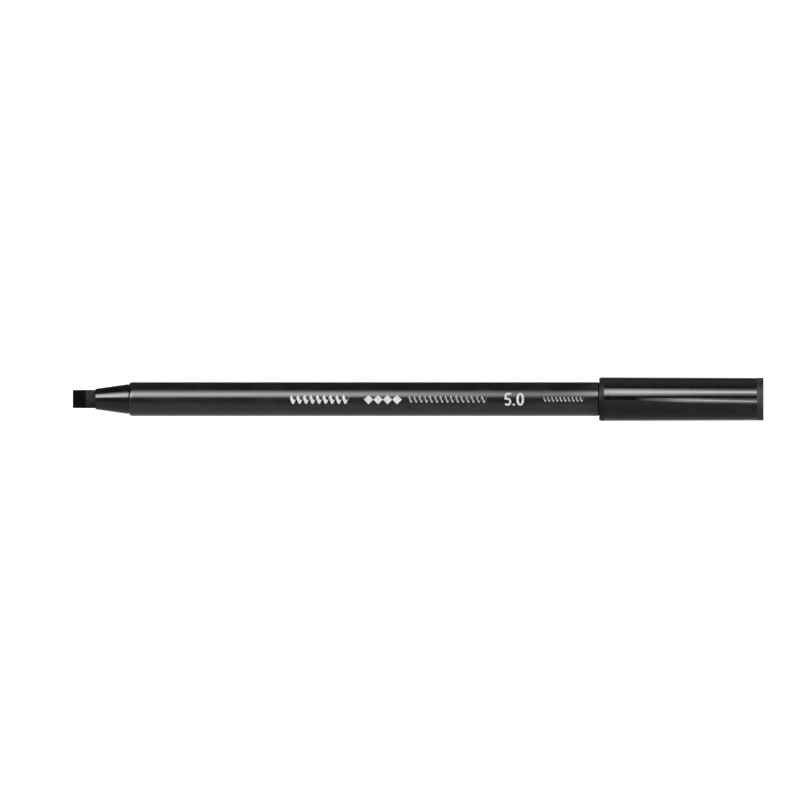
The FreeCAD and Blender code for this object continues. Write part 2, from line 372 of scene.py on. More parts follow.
class Recipe:
    """A material in the making: one Principled shader and the nodes that feed it."""

    def __init__(self, name: str) -> None:
        """Starts a plain material.

        Args:
            name: The material's name.
        """
        self.material = bpy.data.materials.new(name)
        self.material.use_nodes = True
        self.tree = self.material.node_tree
        self.shader = self.tree.nodes["Principled BSDF"]
        self.place = self.tree.nodes.new("ShaderNodeTexCoord").outputs["Object"]

    def set(self, **values: float | tuple[float, ...]) -> None:
        """Sets the shader's own sockets, named with underscores for spaces."""
        for key, value in values.items():
            self.shader.inputs[key.replace("_", " ")].default_value = value

    def link(self, source: Socket, socket: str) -> None:
        """Feeds one of the shader's sockets."""
        self.tree.links.new(source, self.shader.inputs[socket])

    def stretched(self, size_mm: Triple, turn: float = 0.0) -> Socket:
        """Object coordinates counted in a pattern's own size.

        Args:
            size_mm: The pattern's size along X, Y and Z, in millimetres.
            turn: A turn about Y, in radians, that slants the pattern along the marker.

        Returns:
            The coordinates.
        """
        node = self.tree.nodes.new("ShaderNodeMapping")
        node.inputs["Scale"].default_value = tuple(1 / (size * MM) for size in size_mm)
        node.inputs["Rotation"].default_value = (0.0, turn, 0.0)
        self.tree.links.new(self.place, node.inputs["Vector"])
        return node.outputs["Vector"]

    def noise(self, size_mm: Triple, detail: float, rough: float, turn: float = 0.0) -> Socket:
        """A cloudy pattern.

        Args:
            size_mm: The size of its patches along X, Y and Z, in millimetres.
            detail: How many finer layers it has.
            rough: How strong the finer layers are.
            turn: A turn about Y, in radians.

        Returns:
            Its value, about 0.5 on average.
        """
        node = self.tree.nodes.new("ShaderNodeTexNoise")
        node.inputs["Scale"].default_value = 1.0
        node.inputs["Detail"].default_value = detail
        node.inputs["Roughness"].default_value = rough
        self.tree.links.new(self.stretched(size_mm, turn), node.inputs["Vector"])
        return node.outputs["Fac"]

    def cells(self, size_mm: Triple) -> Socket:
        """The distance to the nearest of many scattered points, in the pattern's own size.

        Args:
            size_mm: The usual distance between two points along X, Y and Z, in millimetres.

        Returns:
            The distance.
        """
        node = self.tree.nodes.new("ShaderNodeTexVoronoi")
        node.inputs["Scale"].default_value = 1.0
        self.tree.links.new(self.stretched(size_mm), node.inputs["Vector"])
        return node.outputs["Distance"]

    def attribute(self, name: str) -> Socket:
        """A number that the mesh itself carries at its points.

        Args:
            name: The attribute's name.

        Returns:
            The number.
        """
        node = self.tree.nodes.new("ShaderNodeAttribute")
        node.attribute_name = name
        return node.outputs["Fac"]

    def spread(self, source: Socket, span: Span = WHOLE, to: Span = WHOLE) -> Socket:
        """Carries a span of values over to another span, smoothly, and holds the ends.

        Args:
            source: The value to carry over.
            span: The two ends of the span that is read.
            to: What the two ends become.

        Returns:
            The new value.
        """
        node = self.tree.nodes.new("ShaderNodeMapRange")
        node.interpolation_type = "SMOOTHSTEP"
        for key, value in zip(("From Min", "From Max", "To Min", "To Max"), (*span, *to)):
            node.inputs[key].default_value = value
        self.tree.links.new(source, node.inputs["Value"])
        return node.outputs["Result"]

    def sum(self, first: Socket, *others: Socket) -> Socket:
        """Adds values up.

        Args:
            first: The first value.
            others: The values that are added to it.

        Returns:
            Their sum.
        """
        for other in others:
            node = self.tree.nodes.new("ShaderNodeMath")
            self.tree.links.new(first, node.inputs[0])
            self.tree.links.new(other, node.inputs[1])
            first = node.outputs["Value"]
        return first

    def blend(self, amount: Socket, first: Triple | Socket, second: Triple | Socket) -> Socket:
        """Mixes two colours.

        Args:
            amount: How much of the second colour there is.
            first: A colour, or where it comes from.
            second: The other colour, or where it comes from.

        Returns:
            The mixed colour.
        """
        node = self.tree.nodes.new("ShaderNodeMix")
        node.data_type = "RGBA"
        self.tree.links.new(amount, node.inputs["Factor"])
        for key, colour in (("A", first), ("B", second)):
            socket = next(s for s in node.inputs if s.name == key and s.type == "RGBA")
            if isinstance(colour, tuple):
                socket.default_value = (*colour, 1.0)
            else:
                self.tree.links.new(colour, socket)
        return next(s for s in node.outputs if s.type == "RGBA")

    def tones(self, amount: Socket, level: float, shares: Span, warmth: float = 0.0) -> Socket:
        """Mixes two greys of one finish.

        Args:
            amount: How much of the second grey there is.
            level: The finish's own level.
            shares: The two greys, as shares of that level.
            warmth: The warmth of both.

        Returns:
            The mixed colour.
        """
        return self.blend(amount, *(grey(level * share, warmth) for share in shares))

    def relief(self, *layers: tuple[Socket, float]) -> None:
        """Raises the surface by layers of pattern.

        Args:
            layers: Each layer's pattern, and its height in micrometres.
        """
        normal = None
        for height, micrometres in layers:
            node = self.tree.nodes.new("ShaderNodeBump")
            node.inputs["Distance"].default_value = micrometres * MICROMETRE
            self.tree.links.new(height, node.inputs["Height"])
            if normal is not None:
                self.tree.links.new(normal, node.inputs["Normal"])
            normal = node.outputs["Normal"]
        self.link(normal, "Normal")


def grey(level: float, warmth: float = 0.0) -> Triple:
    """A grey of that linear level, with its red raised and its blue lowered by the warmth."""
    return (level * (1 + warmth), level, level * (1 - warmth))


@dataclass(frozen=True)
class SatinPlastic:
    """Drawn or moulded black plastic with a fine grain, long drawing lines and light handling marks."""

    name: str
    level: float = 0.014
    warmth: float = 0.05
    roughness: float = 0.19
    specular: float = 0.28
    grain_um: float = 1.2
    lines_um: float = 0.8
    grain_mm: Triple = (0.09, 0.09, 0.09)
    lines_mm: Triple = (26.0, 0.22, 0.22)
    patches_mm: Triple = (9.0, 3.0, 3.0)
    scuffs_mm: Triple = (3.4, 0.13, 0.13)
    scuffs_slant: float = 0.05
    scuffs_span: Span = (0.69, 0.76)
    patch_shares: Span = (0.85, 1.2)
    scuff_share: float = 2.6
    sheen_range: Span = (-0.03, 0.04)
    streak_range: Span = (-0.02, 0.02)
    scuff_rise: float = 0.1

    def mix(self) -> bpy.types.Material:
        """Builds the finish.

        Returns:
            The material: grain and long lines in the relief, patchy sheen, and thin paler scuffs.
        """
        recipe = Recipe(self.name)
        recipe.set(Specular_IOR_Level=self.specular)
        grain = recipe.noise(self.grain_mm, 3.0, 0.6)
        lines = recipe.noise(self.lines_mm, 2.0, 0.5)
        patches = recipe.noise(self.patches_mm, 3.0, 0.55)
        marks = recipe.noise(self.scuffs_mm, 2.0, 0.5, self.scuffs_slant)
        scuffs = recipe.spread(marks, self.scuffs_span)
        base = recipe.tones(recipe.spread(patches, MIDDLE), self.level, self.patch_shares, self.warmth)
        paler = grey(self.level * self.scuff_share, self.warmth)
        recipe.link(recipe.blend(scuffs, base, paler), "Base Color")
        sheen = recipe.spread(patches, BROAD, tuple(self.roughness + change for change in self.sheen_range))
        streak = recipe.spread(lines, BROAD, self.streak_range)
        scuffed = recipe.spread(scuffs, to=(0.0, self.scuff_rise))
        recipe.link(recipe.sum(sheen, streak, scuffed), "Roughness")
        recipe.relief((grain, self.grain_um), (lines, self.lines_um))
        return recipe.material


@dataclass(frozen=True)
class GlossPlastic:
    """Polished moulded black plastic with faint flow waves, finger smudges, hairlines and dust."""

    name: str
    level: float = 0.0055
    warmth: float = 0.04
    roughness: float = 0.09
    specular: float = 0.22
    waves_um: float = 1.0
    hairlines_um: float = 0.15
    waves_mm: Triple = (7.0, 1.6, 1.6)
    smudges_mm: Triple = (4.5, 2.6, 2.6)
    smudges_span: Span = (0.45, 0.75)
    hairlines_mm: Triple = (6.0, 0.06, 0.06)
    hairlines_slant: float = 0.09
    hairlines_span: Span = (0.66, 0.72)
    specks_mm: Triple = (1.9, 1.9, 1.9)
    specks_span: Span = (0.025, 0.05)
    speck_tone: Triple = grey(0.09, 0.03)
    smudge_shares: Span = (1.0, 1.7)
    smudge_rise: float = 0.05
    hairline_rise: float = 0.12
    speck_rise: float = 0.4

    def mix(self) -> bpy.types.Material:
        """Builds the finish.

        Returns:
            The material: shallow waves in the relief, smudges and hairlines in the sheen, pale specks.
        """
        recipe = Recipe(self.name)
        recipe.set(Specular_IOR_Level=self.specular)
        waves = recipe.noise(self.waves_mm, 2.0, 0.4)
        smudges = recipe.noise(self.smudges_mm, 4.0, 0.6)
        scratches = recipe.noise(self.hairlines_mm, 2.0, 0.5, self.hairlines_slant)
        hairlines = recipe.spread(scratches, self.hairlines_span)
        specks = recipe.spread(recipe.cells(self.specks_mm), self.specks_span, (1.0, 0.0))
        cloud = recipe.spread(smudges, self.smudges_span)
        base = recipe.tones(cloud, self.level, self.smudge_shares, self.warmth)
        recipe.link(recipe.blend(specks, base, self.speck_tone), "Base Color")
        smudged = (self.roughness, self.roughness + self.smudge_rise)
        sheen = recipe.spread(smudges, self.smudges_span, smudged)
        worn = recipe.spread(hairlines, to=(0.0, self.hairline_rise))
        dusty = recipe.spread(specks, to=(0.0, self.speck_rise))
        recipe.link(recipe.sum(sheen, worn, dusty), "Roughness")
        recipe.relief((waves, self.waves_um), (hairlines, -self.hairlines_um))
        return recipe.material


@dataclass(frozen=True)
class InkedFelt:
    """Pressed fibre soaked in black ink, deep black and soaked on the cut bevel, with painted shade on the
    lower edge behind it.
    """

    name: str
    wet_level: float = 0.0015
    dry_level: float = 0.037
    wet_shares: Span = (0.6, 1.6)
    dry_shares: Span = (0.5, 1.6)
    specular: float = 0.02
    roughness: Span = (0.42, 0.62)
    wet_rise: float = 0.25
    fibres_mm: Triple = (1.6, 0.09, 0.09)
    clumps_mm: Triple = (0.8, 0.45, 0.45)
    fibres_um: float = 16.0
    clumps_um: float = 14.0

    def mix(self) -> bpy.types.Material:
        """Builds the finish.

        Returns:
            The material: fibres along the nib in colour and relief; the mesh says where it is soaked, and
                where painted shade darkens it to the same deep tone.
        """
        recipe = Recipe(self.name)
        recipe.set(Specular_IOR_Level=self.specular)
        # These numbers carry the soaked bevel and a painted shade on the body's lower edge; both take the
        # deep tone.
        wet_and_shade = recipe.attribute("wet_and_shade")
        fibres = recipe.noise(self.fibres_mm, 4.0, 0.65)
        clumps = recipe.noise(self.clumps_mm, 3.0, 0.6)
        pale = recipe.tones(recipe.spread(fibres, MIDDLE), self.dry_level, self.dry_shares)
        deep = recipe.tones(recipe.spread(clumps, MIDDLE), self.wet_level, self.wet_shares)
        recipe.link(recipe.blend(wet_and_shade, pale, deep), "Base Color")
        dry = recipe.spread(clumps, BROAD, self.roughness)
        recipe.link(recipe.sum(dry, recipe.spread(wet_and_shade, to=(0.0, self.wet_rise))), "Roughness")
        recipe.relief((clumps, self.clumps_um), (fibres, self.fibres_um))
        return recipe.material


@dataclass(frozen=True)
class PrintInk:
    """Pad-printed ink: thin, a little uneven, and rubbed thin in scattered spots."""

    name: str
    tone: Tone
    thin_share: float = 0.62
    warmth: float = 0.01
    cover_mm: Triple = (0.35, 0.3, 0.3)
    cover_span: Span = (0.28, 0.5)
    roughness: Span = (0.42, 0.6)
    grain_mm: Triple = (0.12, 0.12, 0.12)
    grain_um: float = 1.5

    def mix(self) -> bpy.types.Material:
        """Builds the finish.

        Returns:
            The material: the ink's tone with thin spots and a slightly rough, dry surface.
        """
        recipe = Recipe(self.name)
        cover = recipe.spread(recipe.noise(self.cover_mm, 4.0, 0.6), self.cover_span)
        recipe.link(recipe.tones(cover, self.tone.value, (self.thin_share, 1.0), self.warmth), "Base Color")
        recipe.link(recipe.spread(cover, to=self.roughness), "Roughness")
        recipe.relief((recipe.noise(self.grain_mm, 3.0, 0.6), self.grain_um))
        return recipe.material


@dataclass(frozen=True)
class SoftFill:
    """A finish for the inner pieces: fibre, wrapping film or soft sealing plastic."""

    name: str
    tones: tuple[Triple, Triple]
    grain_mm: Triple
    roughness: Span
    relief_um: float
    coat: float = 0.0

    def mix(self) -> bpy.types.Material:
        """Builds the finish.

        Returns:
            The material: two tones blended by a grain that also drives the sheen and the relief.
        """
        recipe = Recipe(self.name)
        recipe.set(Coat_Weight=self.coat)
        grain = recipe.noise(self.grain_mm, 4.0, 0.6)
        recipe.link(recipe.blend(recipe.spread(grain, BROAD), *self.tones), "Base Color")
        recipe.link(recipe.spread(grain, BROAD, self.roughness), "Roughness")
        recipe.relief((grain, self.relief_um))
        return recipe.material


def set_numbers(piece: bpy.types.Object, name: str, numbers: np.ndarray) -> None:
    """Gives a mesh one number at each of its points.

    Args:
        piece: The piece.
        name: The name that its finish reads them by.
        numbers: The numbers, in the order of the points.
    """
    attribute = piece.data.attributes.new(name, "FLOAT", "POINT")
    attribute.data.foreach_set("value", numbers.ravel().astype(np.float32))


def dress(piece: bpy.types.Object, material: bpy.types.Material) -> None:
    """Gives a piece, or a node of the frame, one finish all over.

    Args:
        piece: The piece or the node.
        material: The finish.
    """
    slots = piece.material_slots
    if not slots:
        piece.data.materials.append(material)
    for slot in slots:
        slot.material = material


def settle(piece: bpy.types.Object, material: bpy.types.Material, body: str, *nodes: str, slot: str) -> None:
    """Dresses a new piece, sets it on its body, hides the CAD nodes that it stands for, and logs it.

    Args:
        piece: The new piece.
        material: Its finish.
        body: The body that it moves with.
        nodes: The CAD nodes that it stands for, if any.
        slot: Not used.
    """
    dress(piece, material)
    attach(piece, body)
    if nodes:
        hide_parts(*nodes)
    log.info("%s rides on %s: %d faces", piece.name, body, len(piece.data.polygons))


# The marker --------------------------------------------------


@dataclass
class WritingEnd:
    """The chisel nib and the glossy cone that holds it. Sizes are in millimetres."""

    body: str = "pen"
    bevel_length: float = 3.5
    bevel_blend: float = 0.12
    edge_thickness: float = 0.45
    edge_round: float = 0.16
    edge_thickness_share: float = 0.35
    edge_width_share: float = 0.93
    corner_square: float = 9.0
    crown: float = 0.15
    face_unevenness: float = 0.008
    side_unevenness: float = 0.004
    lower_shade: float = 0.6
    # Painted shade on the nib's lower edge behind the bevel: how dark it gets, and the height (a share of the
    # half width) below which it starts.
    lower_shade_line: float = 0.35
    shoulder_at: float = 14.1
    shoulder_blend: float = 0.03
    tail_width: float = 3.4
    tail_point: float = 1.6
    tail_point_share: float = 0.5
    snout_radius: float = 2.78
    snout_round: float = 0.14
    cone_length: float = 8.9
    seam_gap: float = 0.15
    seam_depth: float = 0.16
    plug_radius: float = 3.705
    bead_height: float = 0.14
    bead_inset: float = 5.0
    bead_half: float = 0.5
    slot_gap: float = 0.02
    rim_width: float = 0.12
    vent_width: float = 0.5
    vent_depth: float = 0.35
    parting_rise: float = 0.012
    parting_width: float = 0.0006
    felt: InkedFelt = InkedFelt("nib_felt")
    gloss: GlossPlastic = GlossPlastic("holder_gloss", level=0.008, roughness=0.1)

    def build(self) -> None:
        """Builds and dresses both pieces."""
        self.nib()
        self.holder()

    def nib_stations(self, length: float) -> np.ndarray:
        """The nib's rows: close together where the section changes, wide apart on straight runs.

        Args:
            length: The nib's length, in millimetres.

        Returns:
            The stations from the writing edge, in millimetres, with both ends twice to close them.
        """
        edge = np.linspace(0, 1, 9) ** 2 * self.edge_round
        bevel = np.linspace(0.3, self.bevel_length - self.bevel_blend, 30)
        corner = self.bevel_length + np.linspace(-0.08, 0.08, 5)
        blade = np.linspace(self.bevel_length + 0.2, self.shoulder_at - 0.3, 60)
        shoulder = self.shoulder_at + self.shoulder_blend * np.array([-4, -1, 1, 4])
        tail = np.linspace(self.shoulder_at + 0.4, length - self.tail_point, 24)
        tip = np.linspace(length - self.tail_point + 0.1, length, 8)
        return np.concatenate([[0.0], edge, bevel, corner, blade, shoulder, tail, tip, [length]])

    def nib(self) -> None:
        """The nib: a flat rounded section carried along the marker.

        Its half thickness climbs in a straight line from the writing edge to the end of the bevel. Both half
        sizes swell like a quarter circle over the edge's round, step in at the shoulder, and the tail runs
        out to a point. A shallow ripple along the fibres keeps it from looking cast.
        """
        seat = Seat.of("nib")
        length = seat.length_mm
        s = self.nib_stations(length)
        swell = np.sqrt(np.clip(1 - (1 - ramp(s, 0, self.edge_round)) ** 2, 0, 1))
        thick = between(self.edge_thickness / 2, seat.half_depth / MM, ramp(s, 0, self.bevel_length))
        thick *= between(self.edge_thickness_share, 1, swell)
        into_tail = ramp(s, self.shoulder_at - self.shoulder_blend, self.shoulder_at + self.shoulder_blend)
        wide = between(seat.radius_mm, self.tail_width / 2, into_tail)
        wide *= between(self.edge_width_share, 1, swell)
        wide *= 1 - self.tail_point_share * ramp(s, length - self.tail_point, length)
        for half_size in (thick, wide):
            half_size[[0, -1]] = 0.0
        angle = angles(224)
        z = blunted(np.sin(angle), self.corner_square)
        y = blunted(np.cos(angle), self.corner_square) * (1 - self.crown * z**2)
        row = s[:, None]
        faces = 1 - self.face_unevenness * (1 + ripple(row * 2.2, np.sin(angle) * 7.0, 1.3))
        sides = 1 - self.side_unevenness * (1 + ripple(row * 3.1, angle * 3.0, 0.4))
        across = thick[:, None] * y * faces * MM
        up = wide[:, None] * z * sides * MM
        piece = skin("felt_nib", points_of(seat.front + row * MM, -across, seat.axis + up), Wrap.AROUND)
        self.soak(piece, seat)
        settle(piece, self.felt.mix(), self.body, "nib", slot="inked_felt")

    def soak(self, piece: bpy.types.Object, seat: Seat) -> None:
        """Marks how soaked the fibre is at each point, and where painted shade darkens it.

        It is fully soaked on the bevel. Behind the bevel a painted shade darkens it more and more towards the
        lower edge.

        Args:
            piece: The nib.
            seat: Where the nib lies.
        """
        places = np.empty(len(piece.data.vertices) * 3, np.float32)
        piece.data.vertices.foreach_get("co", places)
        s = (places[0::3] - seat.front) / MM
        behind = ramp(s, self.bevel_length - self.bevel_blend, self.bevel_length + self.bevel_blend)
        height = (places[2::3] - seat.axis) / seat.radius
        # Painted shade: behind the bevel the fibre is darkened towards its lower edge.
        painted_shade = np.clip(self.lower_shade_line - height, 0, 1) * self.lower_shade
        set_numbers(piece, "wet_and_shade", between(1, painted_shade, behind))

    def holder(self) -> None:
        """The holder: a turned cone and plug around a flat slot that runs right through.

        The outline of the slot at each angle is the larger of two flat openings, the nib's and the narrow
        air channel's, and the grid's rows go out over the cone and back through the slot. A low parting line
        stands up at the top and the bottom of the cone, as a narrow bell curve of the angle.
        """
        seat = Seat.of("nib_holder")
        length = seat.length_mm
        rear_radius = seat.radius_mm
        seam_to = self.cone_length + self.seam_gap
        bead_at = seam_to + self.bead_inset
        outer = soften(
            [
                (0, self.snout_radius - 0.2, 0),
                (0, self.snout_radius, self.snout_round),
                (self.cone_length, rear_radius, 0.05),
                (self.cone_length + 0.01, rear_radius - self.seam_depth, 0.02),
                (seam_to, rear_radius - self.seam_depth, 0.02),
                (seam_to + 0.01, self.plug_radius, 0.02),
                (bead_at - self.bead_half, self.plug_radius, 0.1),
                (bead_at, self.plug_radius + self.bead_height, 0.2),
                (bead_at + self.bead_half, self.plug_radius, 0.1),
                (length - 0.4, self.plug_radius, 0.08),
                (length, self.plug_radius - 0.4, 0.08),
                (length, self.plug_radius - 0.6, 0),
            ],
            steps=5,
        )
        columns = 360
        angle = angles(columns)
        ridge = bell(np.abs(np.sin(angle)), 1, self.parting_width) * self.parting_rise * MM
        stations = outer[:, 0]
        on_cone = (stations > 0.3 * MM) & (stations < (self.cone_length - 0.2) * MM)
        outside = outer[:, 1][:, None] + ridge * on_cone[:, None]
        inside = self.slot(angle, seat)
        stations = np.concatenate([stations, [station for station, _ in inside]])
        radii = np.concatenate([outside, [radius for _, radius in inside]])
        piece = skin("nib_cone", around(stations, radii, seat, columns), Wrap.BOTH)
        settle(piece, self.gloss.mix(), self.body, "nib_holder", slot="holder_plastic")

    def slot(self, angle: np.ndarray, seat: Seat) -> list[tuple[float, np.ndarray]]:
        """The rows of the holder's slot, from its rear to the rim of the snout.

        Args:
            angle: The angles about the axis.
            seat: Where the holder lies.

        Returns:
            The station of each row and its distance from the axis at each angle, in metres.
        """
        nib = Seat.of("nib")
        gap = self.slot_gap * MM
        half_thickness = nib.half_depth + gap
        channel = flat_opening(angle, self.vent_width / 2 * MM, half_thickness + self.vent_depth * MM)
        front = np.maximum(flat_opening(angle, nib.radius + gap, half_thickness), channel)
        rear = np.maximum(flat_opening(angle, self.tail_width / 2 * MM + gap, half_thickness), channel)
        step_at = self.shoulder_at * MM - (seat.front - nib.front)
        return [
            (seat.rear - seat.front, rear),
            (step_at + 0.02 * MM, rear),
            (step_at, front),
            (2 * MM, front),
            (0.12 * MM, front),
            (0.03 * MM, front + 0.015 * MM),
            (0.0, front + 0.05 * MM),
            (0.0, np.minimum(front + self.rim_width * MM, (self.snout_radius - 0.22) * MM)),
        ]


@dataclass
class BarrelUnit:
    """The satin tube, the plug that closes its rear, and the ink supply inside. Sizes in millimetres."""

    body: str = "pen"
    nose_length: float = 0.95
    nose_drop: float = 0.415
    wall: float = 0.865
    post_step: float = 0.18
    post_step_length: float = 0.2
    ring_width: float = 1.6
    ring_inset: float = 3.0
    mouth_lead_in: float = 0.3
    groove_inset: float = 5.0
    groove_depth: float = 0.155
    groove_half: float = 0.55
    flange: float = 0.8
    flange_chamfer: float = 0.15
    spigot_radius: float = 3.705
    spigot_wall: float = 1.3
    gate_radius: float = 0.7
    gate_depth: float = 0.12
    satin: SatinPlastic = SatinPlastic("barrel_satin")
    moulded: SatinPlastic = SatinPlastic(
        "plug_moulded", level=0.02, roughness=0.42, specular=0.26, lines_um=0.2
    )
    fibre: SoftFill = SoftFill(
        "reservoir_fibre", (grey(0.02), grey(0.07)), (5.0, 0.15, 0.15), (0.7, 0.9), relief_um=30.0
    )
    film: SoftFill = SoftFill(
        "wrapping_film", (grey(0.62), grey(0.78)), (6.0, 1.4, 1.4), (0.12, 0.3), relief_um=6.0, coat=0.3
    )

    def build(self) -> None:
        """Builds and dresses the tube and the plug, and dresses the ink supply."""
        self.tube()
        self.plug()
        nodes = bpy.data.objects
        dress(nodes["ink_reservoir"], self.fibre.mix())
        dress(nodes["reservoir_film"], self.film.mix())
        log.info("ink_reservoir and reservoir_film keep their CAD shapes")

    def ring(self, middle: float, base: float, top: float, steps: int = 9) -> list[Triple]:
        """A low rounded ring: the first half wave of a cosine between its two feet.

        Args:
            middle: The station of its crown.
            base: The radius that it stands on.
            top: The radius of its crown.
            steps: The number of points over it.

        Returns:
            Station, radius and round of each point.
        """
        turn = np.linspace(-np.pi / 2, np.pi / 2, steps)
        stations = middle + turn / np.pi * self.ring_width
        return list(zip(stations, between(base, top, np.cos(turn)), np.full(steps, 0.03)))

    def tube(self) -> None:
        """The tube: its outline runs over the outside and back through the bore.

        The full radius ends just before the posted cap's mouth; the slimmer rear has two low rings.
        """
        seat = Seat.of("barrel")
        length = seat.length_mm
        radius = seat.radius_mm
        bore = radius - self.wall
        slim = radius - self.post_step
        step_at = (Seat.of("cap_shell").front - seat.front) / MM - self.mouth_lead_in
        slim_from = step_at + self.post_step_length
        groove = self.groove_inset
        outline = soften(
            [
                (0.02, bore + 0.1, 0),
                *nose(self.nose_length, self.nose_drop, radius, 0.04),
                (step_at, radius, 0.08),
                (slim_from, slim, 0.08),
                *self.ring(slim_from + self.ring_inset, slim, radius),
                *self.ring(length - self.ring_inset, slim, radius),
                (length, slim, 0.05),
                (length, bore, 0.05),
                (groove + self.groove_half, bore, 0.1),
                (groove, bore + self.groove_depth, 0.2),
                (groove - self.groove_half, bore, 0.1),
                (0.02, bore, 0.04),
                (0.02, bore + 0.08, 0),
            ],
            steps=4,
        )
        piece = turned("satin_barrel", outline, seat, Wrap.BOTH, 320)
        settle(piece, self.satin.mix(), self.body, "barrel", slot="barrel_plastic")

    def plug(self) -> None:
        """The end plug: a flange with a shallow gate dimple, and a hollow spigot inside the tube."""
        seat = Seat.of("barrel_end_plug")
        length = seat.length_mm
        radius = seat.radius_mm
        flange_from = length - self.flange
        hollow = self.spigot_radius - self.spigot_wall
        outline = soften(
            [
                (flange_from, 0, 0),
                (flange_from, hollow, 0.1),
                (0, hollow, 0.08),
                (0, self.spigot_radius - 0.1, 0.1),
                (0.15, self.spigot_radius, 0.08),
                (flange_from, self.spigot_radius, 0.02),
                (flange_from + 0.01, radius, 0.02),
                (length - self.flange_chamfer, radius, 0.05),
                (length, radius - self.flange_chamfer, 0.05),
                (length, self.gate_radius + 0.25, 0.15),
                (length - self.gate_depth, self.gate_radius, 0.1),
                (length - self.gate_depth, 0, 0),
            ]
        )
        piece = turned("barrel_plug", outline, seat, Wrap.AROUND, 192)
        settle(piece, self.moulded.mix(), self.body, "barrel_end_plug", slot="plug_plastic")


@dataclass(frozen=True)
class Wave:
    """A printed wave: its ends along the barrel, one wave's length, half its height, the pen's width."""

    name: str
    start: float
    end: float
    period: float
    swing: float
    width: float


@dataclass
class Printing:
    """The print on the barrel: pen strokes, nib-width squares and the line width in numerals.

    Lengths are in millimetres, counted from the barrel's front and, across, from the print's middle. The
    print's turn and the pen's slant are in degrees, and the turns at the bowl's ends in radians. The
    numerals' own sizes are shares of their height, width or weight.
    """

    body: str = "pen"
    turn: float = 4.2
    lift: float = 0.004
    thickness: float = 0.008
    sunk: float = 0.01
    pen_slant: float = 68.0
    lean: float = 0.35
    stroke: Wave = Wave("stroke_wave", 43.4, 59.2, 1.755, 0.72, 1.15)
    fine: Wave = Wave("fine_wave", 75.2, 96.2, 1.4, 0.72, 0.56)
    tail: Wave = Wave("tail_wave", 111.4, 122.3, 1.09, 0.5, 0.45)
    squares_from: float = 63.1
    squares_to: float = 73.3
    squares_count: int = 4
    squares_drop: float = 0.1
    hair: float = 0.05
    numerals_at: float = 100.9
    numerals_height: float = 3.55
    width_share: float = 0.56
    weight_share: float = 0.15
    bowl_turns: Span = (2.35, -2.5)
    bowl_middle_shares: Span = (0.42, 0.31)
    bowl_rise_share: float = 0.235
    bar_reach_share: float = 0.92
    stem_inset_share: float = 0.62
    stem_lean: float = 0.05
    point_shares: Span = (1.26, 0.6)
    point_radius_share: float = 0.58
    nought_share: float = 2.13
    nought_weights: Span = (0.86, 0.3)
    white: PrintInk = PrintInk("print_white", Tone.WHITE)
    pale: PrintInk = PrintInk("print_grey", Tone.GREY)

    def build(self) -> None:
        """Builds and dresses the marks, each as one mesh."""
        seat = Seat.of("barrel")
        self.wave(self.stroke, self.white, seat)
        self.squares(seat)
        self.wave(self.fine, self.pale, seat)
        self.wave(self.tail, self.pale, seat)
        self.numerals(seat)

    def wrapped(
        self, name: str, along: np.ndarray, across: np.ndarray, seat: Seat, closed: bool = False
    ) -> bpy.types.Object:
        """Lays a flat mark around the barrel as a thin closed film of ink.

        A point (a, b) of the mark goes to station a, and to the angle b / radius above the print's middle.
        The film's section is the mark's own width on top and the same width, sunk under the surface, below.

        Args:
            name: The name of the new piece.
            along: Distances along the barrel, as rows by columns across the mark.
            across: Distances across it, of the same shape.
            seat: Where the barrel lies.
            closed: Whether the mark's rows close on themselves.

        Returns:
            The new object.
        """
        top = seat.radius + (self.lift + self.thickness) * MM
        under = seat.radius - self.sunk * MM
        a = np.concatenate([along, along[:, ::-1]], axis=1) * MM
        b = np.concatenate([across, across[:, ::-1]], axis=1) * MM
        r = np.concatenate([np.full(along.shape, top), np.full(along.shape, under)], axis=1)
        angle = np.radians(self.turn) + b / seat.radius
        grid = points_of(seat.front + a, -r * np.cos(angle), seat.axis + r * np.sin(angle))
        if closed:
            return skin(name, grid, Wrap.BOTH)
        middles = [np.broadcast_to(row.mean(axis=0), row.shape)[None] for row in (grid[0], grid[-1])]
        return skin(name, np.concatenate([middles[0], grid, middles[1]]), Wrap.AROUND)

    def wave(self, wave: Wave, ink: PrintInk, seat: Seat) -> None:
        """A wave drawn with a broad pen held at one slant: thick going down and thin going up.

        The middle of the stroke is (t, swing times a leaning cosine of t), and the stroke is that line plus
        q times a fixed slanted edge of the pen's width, for q from -1/2 to 1/2. The climbs stay flatter than
        the edge, so that the stroke never folds over.

        Args:
            wave: The wave's place and sizes.
            ink: The printing ink.
            seat: Where the barrel lies.
        """
        slant = np.radians(self.pen_slant)
        waves = (wave.end - wave.start) / wave.period
        t = np.linspace(0, 1, int(waves * 40))[:, None]
        phase = t * waves * FULL_TURN
        q = np.linspace(-0.5, 0.5, 9) * wave.width
        a = between(wave.start, wave.end, t) + q * np.cos(slant)
        b = wave.swing * np.cos(phase + self.lean * np.sin(phase)) + q * np.sin(slant)
        piece = self.wrapped(wave.name, a, b, seat)
        settle(piece, ink.mix(), self.body, slot="barrel_plastic")

    def squares(self, seat: Seat) -> None:
        """Nib-width squares standing on their corners, joined corner to corner as one strip.

        The half height at the share t of a square's diagonal is half the diagonal times 1 - |2 t - 1|, and
        it never falls below a hair's width, which joins the corners.

        Args:
            seat: Where the barrel lies.
        """
        t = np.linspace(0, self.squares_count, 40 * self.squares_count + 1)[:, None]
        half = (self.squares_to - self.squares_from) / (2 * self.squares_count)
        height = np.maximum(half * (1 - np.abs(2 * (t % 1) - 1)), self.hair)
        q = np.linspace(-1, 1, 11)
        a = between(self.squares_from, self.squares_to, t / self.squares_count) + 0 * q
        piece = self.wrapped("nib_squares", a, height * q - self.squares_drop, seat)
        settle(piece, self.white.mix(), self.body, slot="barrel_plastic")

